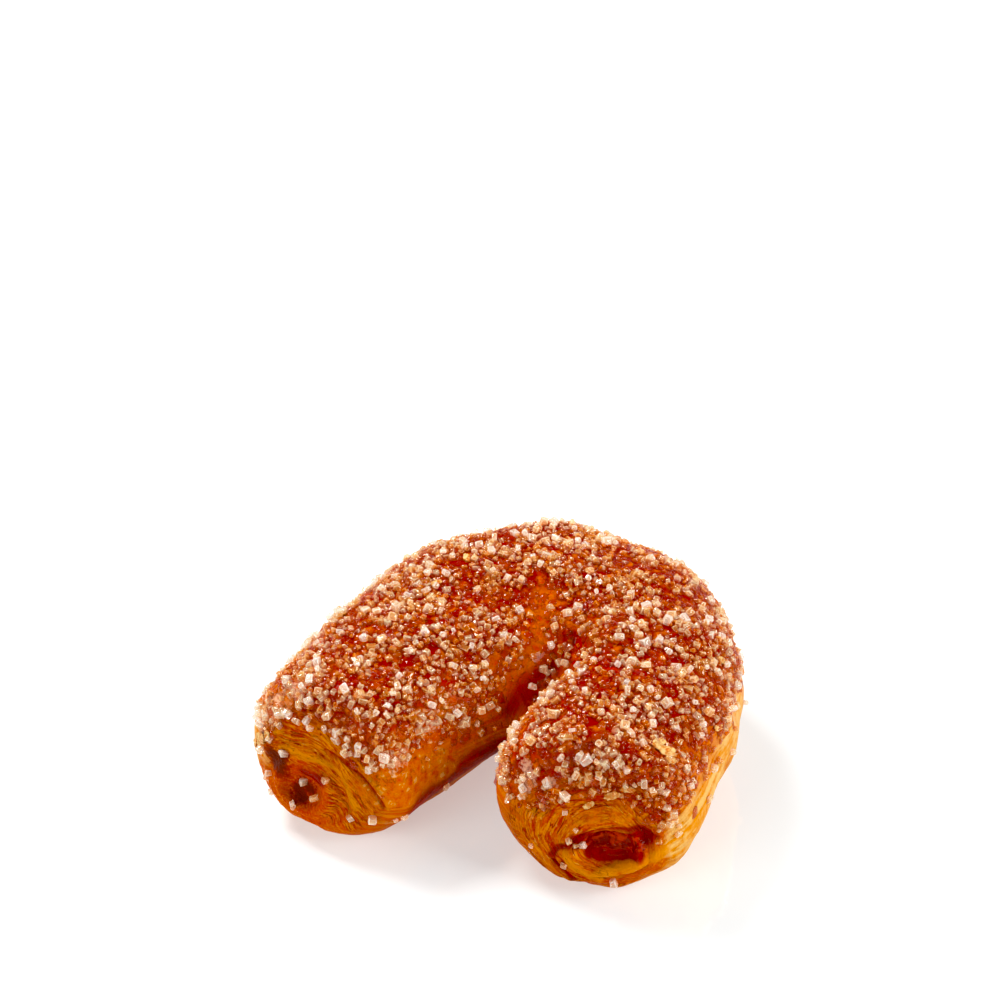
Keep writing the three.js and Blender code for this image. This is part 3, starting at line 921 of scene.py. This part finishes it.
def strewTree():
    sizes = [name for name in grainKinds["sugarClear"] if name != "Seed"]
    kinds = {"Grains": "Collection", "Tumbled": "Bool", "Seed": "Int", "Material": "Material"}
    sheet, given = newTree("strewSugar", {**{name: "Float" for name in sizes}, **kinds})
    place = sheet.add("GeometryNodeInputPosition")
    pattern = {"Vector": place, "Scale": 1 / given["Clump Size"], "Detail": 2.0}
    clump = sheet.add("ShaderNodeTexNoise", None, pattern)
    covered = sheet.named("strewn") * sheet.ease(clump, given["Bare Below"], given["Full Above"])
    covered = covered * (1 - sheet.ease(sheet.named("bare"), 0.1, 0.6) * 0.97)
    covered = covered * (1 - sheet.ease(sheet.named("glassy"), 0.2, 0.8) * 0.85)
    points = sheet.add("GeometryNodeDistributePointsOnFaces", {"distribute_method": "POISSON"}, {
        "Mesh": given["Geometry"], "Distance Min": given["Spacing"], "Density Max": given["Density"],
        "Density Factor": covered, "Seed": given["Seed"],
    })

    def chance(low, high, seed):
        limits = {"Min": low, "Max": high, "Seed": seed}
        return sheet.add("FunctionNodeRandomValue", {"data_type": "FLOAT"}, limits)

    lift = points.output("Normal") * chance(given["Lowest"], given["Highest"], 1)
    lifted = sheet.add("GeometryNodeSetPosition", None, {"Geometry": points, "Offset": lift})
    anyTurn = {"Max": (6.28, 6.28, 6.28), "Seed": 2}
    anyTurn = sheet.add("FunctionNodeRandomValue", {"data_type": "FLOAT_VECTOR"}, anyTurn)
    tumbled = sheet.add("FunctionNodeEulerToRotation", None, {0: anyTurn})
    turns = {"Switch": given["Tumbled"], "False": points.output("Rotation"), "True": tumbled}
    turned = sheet.add("GeometryNodeSwitch", {"input_type": "ROTATION"}, turns)
    grains = {"Collection": given["Grains"], "Separate Children": True, "Reset Children": True}
    laid = sheet.add("GeometryNodeInstanceOnPoints", None, {
        "Points": lifted, "Instance": sheet.add("GeometryNodeCollectionInfo", None, grains),
        "Pick Instance": True, "Rotation": turned, "Scale": chance(given["Smallest"], given["Largest"], 3),
    })
    laid = sheet.store(laid, "tone", chance(0.0, 1.0, 4), "INSTANCE")
    laid = sheet.add("GeometryNodeRealizeInstances", None, {"Geometry": laid})
    near = sheet.add("GeometryNodeProximity", {"target_element": "FACES"}, {0: given["Geometry"]})
    laid = sheet.store(laid, "depth", near.output("Distance") * 1000)
    endTree(sheet, laid, given["Material"])
    return sheet


strewing = strewTree()
sharpGrains = makeSharpGrains(grainShapes)
meltedGrains = makeMeltedGrains(grainShapes)
for name, kind in grainKinds.items():
    melted = name == "sugarMelted"
    sugar = newPiece(name, crust.data.copy())
    runTree(sugar, strewing, {
        **kind, "Grains": meltedGrains if melted else sharpGrains, "Tumbled": not melted,
        "Material": makeSugarMaterial(name, sugarLooks[name]),
    })
    finishPiece(sugar)


crustTree = BVHTree.FromPolygons(
    [vertex.co for vertex in crust.data.vertices], [face.vertices for face in crust.data.polygons]
)


def landOn(spot, outward):  # where a drop from 8 mm outside meets the baked skin
    hit = crustTree.ray_cast(spot + outward * 0.008, -outward)[0]
    return hit if hit else spot


jamPool = {  # places on the skin, and metres
    "side": 1, "from": ("cap", 78, 0.03), "to": ("cap", 66, 0.465), "width": 0.0034, "past": 0.0006,
    "dome": 0.0006, "bumps": 0.0005, "bumpScale": 700, "sink": 0.0007, "depth": 0.0012,
    "ragged": 0.34, "lobes": 2.4, "seed": 4, "rings": 12, "spokes": 44,
}
jamLook = {"dark": (0.17, 0.0020, 0.0001), "light": (0.47, 0.045, 0.0010)}


def makeJamMaterial(look):
    fixed = {
        "IOR": 1.38, "Specular IOR Level": 0.1, "Specular Tint": (1.0, 0.5, 0.3, 1), "Coat Weight": 0.2,
        "Coat Roughness": 0.03, "Coat IOR": 1.4,
    }
    material, sheet, shader = newMaterial("jamCooked", fixed, look)
    place = sheet.place()
    clots = sheet.noise(place, 0.0022, 3, 0.6, 0.5)
    grit = sheet.noise(place, 0.0007, 2, 0.6)
    feed(sheet, shader, {
        "Base Color": sheet.mix(sheet.ease(clots, 0.42, 0.64), "dark", "light"),
        "Roughness": 0.18 + sheet.ease(clots, 0.5, 0.7) * 0.3,
        "Normal": bumpOf(sheet, clots * 0.8 + grit * 0.5, 0.0006),
    })
    return material


def standOf(side, kind, along, around):  # kind is "length", in mm along an arm, or "cap", in degrees
    return standAt(side, ringOf(side, **{kind: along}), around)


def lumpy(scale, *place):  # a smooth chance value from about -1 to 1
    return noise.noise(Vector(place) * scale)


def makeJam(name, pool, material):  # a closed lens that lies in the hollow of a tip
    (start, startOut), (end, endOut) = [standOf(pool["side"], *pool[key]) for key in ("from", "to")]
    middle, outward = (start + end) / 2, (startOut + endOut).normalized()
    along = end - start
    along -= outward * along.dot(outward)
    half = along.length / 2 + pool["past"]
    along.normalize()
    across = outward.cross(along)
    jam = bmesh.new()
    skins = []
    for under in (0, pool["depth"]):
        rows = []
        for share in np.arange(1, pool["rings"] + 1) / pool["rings"]:
            row = []
            for turn in np.arange(pool["spokes"]) * 2 * math.pi / pool["spokes"]:
                cosine, sine = math.cos(turn), math.sin(turn)
                ragged = lumpy(1, cosine * pool["lobes"], sine * pool["lobes"], pool["seed"])
                wobble = 1 + pool["ragged"] * ragged
                flat = middle + along * (half * cosine * share * wobble)
                spot = landOn(flat + across * (pool["width"] * sine * share * wobble), outward)
                rise = pool["dome"] * (1 - share ** 2) - pool["sink"] * share ** 6
                rise += pool["bumps"] * lumpy(pool["bumpScale"], *spot) * (1 - share ** 4)
                row.append(jam.verts.new(spot + outward * (rise - under)))
            rows.append(row)
        crown = jam.verts.new(landOn(middle, outward) + outward * (pool["dome"] - under))
        skins.append(rows)
        for spoke in range(pool["spokes"]):
            jam.faces.new((crown, rows[0][spoke - 1], rows[0][spoke]))
            for inner, outer in zip(rows[:-1], rows[1:]):
                jam.faces.new((inner[spoke - 1], outer[spoke - 1], outer[spoke], inner[spoke]))
    top, bottom = skins[0][-1], skins[1][-1]
    for spoke in range(pool["spokes"]):
        jam.faces.new((top[spoke - 1], bottom[spoke - 1], bottom[spoke], top[spoke]))
    bmesh.ops.recalc_face_normals(jam, faces=jam.faces)
    finishPiece(newPiece(name, meshOf(name, jam), material))


makeJam("jamRight", jamPool, makeJamMaterial(jamLook))

flakeLook = {
    "dark": (0.54, 0.19, 0.028), "light": (0.76, 0.50, 0.22), "thickness": 0.0003, "lift": 0.0002,
    "ragged": 0.32, "rounding": 0.45, "curlRise": 0.16, "curlFrom": -0.4, "columns": 12, "rows": 8,
    "waves": ((0.00035, 3, 3, 7.7), (0.00022, 9, 7, 5.3)),  # height in metres, waves along and across, seed
    "places": (  # side, where along, share around, length and width in metres, turn in degrees, curl
        (-1, "cap", 50, 0.438, 0.0048, 0.0030, 20, 0.35), (-1, "cap", 53, 0.405, 0.0036, 0.0022, 60, 0.4),
        (-1, "cap", 47, 0.463, 0.0030, 0.0022, 100, 0.4), (-1, "cap", 42, 0.487, 0.0028, 0.0020, 10, 0.5),
        (1, "length", 70.4, 0.352, 0.0068, 0.0034, 26, 0.2),
        (1, "length", 69.2, 0.340, 0.0034, 0.0024, 50, 0.4),
        (1, "length", 71.6, 0.366, 0.0032, 0.0024, 10, 0.3),
        (1, "cap", 60, 0.27, 0.0042, 0.0018, 26, 0.12), (1, "cap", 52, 0.31, 0.0036, 0.0016, 10, 0.12),
        (1, "cap", 66, 0.20, 0.0034, 0.0015, 40, 0.12), (-1, "length", 40, 0.22, 0.0032, 0.0018, 30, 0.4),
        (-1, "length", 28, 0.20, 0.0030, 0.0019, 120, 0.4),
        (1, "length", 52, 0.42, 0.0034, 0.0017, 60, 0.3), (1, "length", 34, 0.36, 0.0030, 0.0017, 40, 0.3),
        (-1, "length", 58, 0.36, 0.0030, 0.0017, 150, 0.3),
        (-1, "length", 15, 0.30, 0.0034, 0.0018, 20, 0.3),
    ),
}


def makeFlakeMaterial(look):
    material, sheet, shader = newMaterial("flakeGolden", {"Specular IOR Level": 0.3}, look)
    mottle = sheet.noise(sheet.place(), 0.0012, 3, 0.6)
    feed(sheet, shader, {
        "Base Color": sheet.mix(sheet.ease(mottle, 0.38, 0.6), "dark", "light"),
        "Roughness": 0.4 + mottle * 0.2, "Normal": bumpOf(sheet, mottle, 0.0003),
    })
    return material


def makeFlakes(look, material):  # curled shards of the top layer
    flakes = bmesh.new()
    columns, rows = look["columns"], look["rows"]
    rounded = look["rounding"]
    for number, (side, kind, along, around, length, width, turn, curl) in enumerate(look["places"]):
        spot, outward = standOf(side, kind, along, around)
        spot = landOn(spot, outward)
        frontward = (Vector((1, 0, 0)) - outward * outward.x).normalized()
        frontward.rotate(Matrix.Rotation(math.radians(turn), 3, outward))
        sideward = outward.cross(frontward)
        grids = []
        for height in (look["thickness"], 0):
            grid = {}
            for column in range(columns + 1):
                across = column / columns * 2 - 1
                for row in range(rows + 1):
                    down = row / rows * 2 - 1
                    ragged = 1 + look["ragged"] * lumpy(1, across * 1.9, down * 1.9, number * 3.1)
                    ahead = across * length / 2 * ragged * math.sqrt(1 - rounded * down ** 2)
                    aside = down * width / 2 * ragged * math.sqrt(1 - rounded * across ** 2)
                    flat = spot + frontward * ahead
                    flat += sideward * aside
                    curled = curl * length * look["curlRise"] * (across - look["curlFrom"]) ** 2
                    lift = look["lift"] + curled
                    for rise, waves, waving, seed in look["waves"]:
                        lift += rise * lumpy(1, across * waves, down * waving, number * seed)
                    grid[column, row] = flakes.verts.new(flat + outward * (lift + height))
            grids.append(grid)
            for a in range(columns):
                for b in range(rows):
                    flakes.faces.new((grid[a, b], grid[a + 1, b], grid[a + 1, b + 1], grid[a, b + 1]))
        top, bottom = grids
        edge = [(column, 0) for column in range(columns)] + [(columns, row) for row in range(rows)]
        edge += [(column, rows) for column in range(columns, 0, -1)]
        edge += [(0, row) for row in range(rows, 0, -1)]
        for here, following in zip(edge, edge[1:] + edge[:1]):
            flakes.faces.new((top[here], top[following], bottom[following], bottom[here]))
    bmesh.ops.recalc_face_normals(flakes, faces=flakes.faces)
    finishPiece(newPiece("flakes", meshOf("flakes", flakes), material))


makeFlakes(flakeLook, makeFlakeMaterial(flakeLook))

looseGrains = {
    "seed": 17, "warmer": 0.2, "lift": 0.3,
    "places": (  # side and kind of place, then place, share around, size in metres and tone, 0 the palest
        (-1, "cap", (
            (43, 0.088, 0.0021, 0.2), (74, 0.106, 0.0016, 0.6), (86, 0.257, 0.0017, 0.3),
            (84, 0.93, 0.0018, 0.7), (83, 0.97, 0.0015, 0.8), (70, 0.357, 0.0019, 0.1),
            (54, 0.463, 0.0019, 0.1), (50, 0.275, 0.0020, 0.0), (58, 0.919, 0.0014, 0.2),
            (43, 0.938, 0.0019, 0.3), (22, 0.944, 0.0013, 0.2), (14, 0.957, 0.0014, 0.3),
        )),
        (-1, "length", ((71.6, 0.957, 0.0015, 0.5),)),
        (-1, "cap", (
            (79, 0.694, 0.0017, 0.1), (78, 0.71, 0.0014, 0.2), (56, 0.613, 0.0014, 0.3),
            (64, 0.53, 0.0015, 0.3), (60, 0.56, 0.0013, 0.4), (56, 0.40, 0.0015, 0.2),
            (46, 0.33, 0.0022, 0.1), (45, 0.35, 0.0019, 0.3), (40, 0.30, 0.0018, 0.5),
            (52, 0.30, 0.0017, 0.4), (52, 0.19, 0.0019, 0.3), (49, 0.16, 0.0017, 0.5),
            (46, 0.13, 0.0020, 0.3), (50, 0.23, 0.0018, 0.4), (47, 0.20, 0.0020, 0.2),
            (53, 0.15, 0.0016, 0.5), (45, 0.17, 0.0018, 0.4), (42, 0.14, 0.0019, 0.2),
            (54, 0.26, 0.0017, 0.3), (40, 0.42, 0.0021, 0.0), (34, 0.43, 0.0019, 0.1),
            (37, 0.40, 0.0020, 0.2), (30, 0.44, 0.0018, 0.1), (26, 0.42, 0.0020, 0.0),
        )),
        (1, "cap", (
            (79, 0.037, 0.0019, 0.0), (74, 0.031, 0.0015, 0.5), (77, 0.02, 0.0013, 0.7),
            (74, 0.106, 0.0014, 0.5), (52, 0.944, 0.0013, 0.2), (65, 0.119, 0.0012, 0.2),
            (32, 0.475, 0.0015, 0.3), (60, 0.70, 0.0019, 0.1), (66, 0.88, 0.0013, 0.6),
            (40, 0.08, 0.0021, 0.0), (42, 0.06, 0.0015, 0.3), (38, 0.23, 0.0022, 0.1),
            (35, 0.22, 0.0020, 0.2), (40, 0.26, 0.0016, 0.4), (33, 0.19, 0.0018, 0.3),
            (36, 0.30, 0.0019, 0.2), (38, 0.34, 0.0018, 0.4), (36, 0.41, 0.0017, 0.5),
            (33, 0.43, 0.0017, 0.6), (34, 0.445, 0.0015, 0.6), (30, 0.46, 0.0014, 0.5),
        )),
        (1, "length", (
            (60, 0.46, 0.0018, 0.2), (48, 0.49, 0.0017, 0.3), (66, 0.485, 0.0016, 0.3),
            (30, 0.50, 0.0017, 0.3),
        )),
        (-1, "length", ((30, 0.47, 0.0017, 0.3), (60, 0.48, 0.0018, 0.3))),
    ),
}


def makeLoose(look, shapes, material):  # the single grains that lie apart from the rest
    dice = random.Random(look["seed"])
    loose = bmesh.new()
    tone = loose.verts.layers.float.new("tone")
    depth = loose.verts.layers.float.new("depth")
    rim = loose.faces.layers.float.new("rim")
    places = [(side, kind, *place) for side, kind, group in look["places"] for place in group]
    for side, kind, along, around, size, shade in places:
        spot, outward = standOf(side, kind, along, around)
        spot = landOn(spot, outward)
        mesh = dice.choice(list(shapes.objects)).data
        turn = Euler([dice.uniform(0, 6.28) for _ in range(3)]).to_matrix()
        rims = mesh.attributes["rim"].data
        middle = spot + outward * size * look["lift"]
        made = [loose.verts.new(middle + turn @ vertex.co * size) for vertex in mesh.vertices]
        for vertex in made:
            vertex[tone] = shade + look["warmer"]
            vertex[depth] = max((vertex.co - spot).dot(outward) * 1000, 0)
        for face in mesh.polygons:
            fresh = loose.faces.new([made[index] for index in face.vertices])
            fresh[rim] = rims[face.index].value
            fresh.smooth = face.use_smooth
    finishPiece(newPiece("sugarLoose", meshOf("sugarLoose", loose, smooth=False), material))


makeLoose(looseGrains, sharpGrains, bpy.data.materials["sugarUpper"])

studio = {
    "world": 0.15, "floorSize": 3.0, "floorColour": (0.585, 0.61, 0.61), "floorRoughness": 0.02,
    "floorGlow": 0.42,
    "lamps": (  # place and aim in metres, width, height, watts
        ("keyLamp", (-0.8, 0.3, 0.95), (0, 0, 0), 0.5, 0.5, 21.5),
        ("backLamp", (0.1, 1.5, 0.75), (0, 0, 0.02), 1.8, 0.8, 8),
        ("sideLamp", (0.85, 0.1, 0.5), (0, 0, 0), 0.5, 0.5, 9),
        ("frontLamp", (-0.25, -0.95, 0.55), (0, 0, 0), 0.7, 0.5, 6),
    ),
    "saturation": 1.06, "contrast": ((0.0, 0.0), (0.2, 0.185), (0.7, 0.72), (1.0, 1.0)),
}
photoView = {  # metres and radians
    "target": (-0.0581, 0.1008, 0), "distance": 1.144, "azimuth": 0.45357, "elevation": 0.62382,
    "focus": 3.9703, "sensor": 36,
}


def makeFloor(look):
    half = look["floorSize"] / 2
    mesh = bpy.data.meshes.new("floor")
    corners = [(-half, -half, 0), (half, -half, 0), (half, half, 0), (-half, half, 0)]
    mesh.from_pydata(corners, [], [(0, 1, 2, 3)])
    material = newMaterial("floorWhite", {
        "Base Color": (*look["floorColour"], 1), "IOR": 1.9, "Roughness": look["floorRoughness"],
        "Emission Strength": look["floorGlow"], "Emission Color": (1, 1, 1, 1),
    })[0]
    newPiece("floor", mesh, material)


def makeLamps(look):
    for name, place, aim, width, height, watts in look["lamps"]:
        lamp = bpy.data.lights.new(name, "AREA")
        lamp.shape = "RECTANGLE"
        lamp.size = width
        lamp.size_y = height
        lamp.energy = watts
        holder = bpy.data.objects.new(name, lamp)
        bpy.context.scene.collection.objects.link(holder)
        holder.location = place
        holder.rotation_euler = (Vector(aim) - Vector(place)).to_track_quat("-Z", "Y").to_euler()
        holder.visible_camera = False
    world = bpy.data.worlds.new("studio")
    world.use_nodes = True
    world.node_tree.nodes["Background"].inputs["Color"].default_value = (1, 1, 1, 1)
    world.node_tree.nodes["Background"].inputs["Strength"].default_value = look["world"]
    bpy.context.scene.world = world


def makeCamera(view):
    right = Vector((math.cos(view["azimuth"]), math.sin(view["azimuth"]), 0))
    ahead = Vector((-math.sin(view["azimuth"]), math.cos(view["azimuth"]), 0)) * math.cos(view["elevation"])
    ahead.z = -math.sin(view["elevation"])
    camera = bpy.data.cameras.new("photoCamera")
    camera.sensor_width = view["sensor"]
    camera.lens = view["focus"] * view["sensor"]
    camera.clip_start = 0.05
    holder = bpy.data.objects.new("photoCamera", camera)
    bpy.context.scene.collection.objects.link(holder)
    turn = Matrix((right, right.cross(ahead), -ahead)).transposed().to_4x4()
    holder.matrix_world = Matrix.Translation(Vector(view["target"]) - ahead * view["distance"]) @ turn
    bpy.context.scene.camera = holder


def makePrint(look):  # the finish of the picture alone: a little more colour and contrast
    scene = bpy.context.scene
    scene.use_nodes = True
    sheet = Sheet(scene.node_tree)
    for old in list(scene.node_tree.nodes):
        scene.node_tree.nodes.remove(old)
    picture = sheet.add("CompositorNodeRLayers")
    richer = sheet.add("CompositorNodeHueSat", None, {"Image": picture, "Saturation": look["saturation"]})
    curve = sheet.add("CompositorNodeCurveRGB", None, {"Image": richer})
    line = curve.socket.node.mapping.curves[3]
    line.points[0].location, line.points[1].location = look["contrast"][0], look["contrast"][-1]
    for spot in look["contrast"][1:-1]:
        line.points.new(*spot)
    curve.socket.node.mapping.update()
    sheet.add("CompositorNodeComposite", None, {"Image": curve})


makePrint(studio)
makeFloor(studio)
makeLamps(studio)
makeCamera(photoView)
bpy.context.scene.view_settings.view_transform = "Standard"
print("studio set")
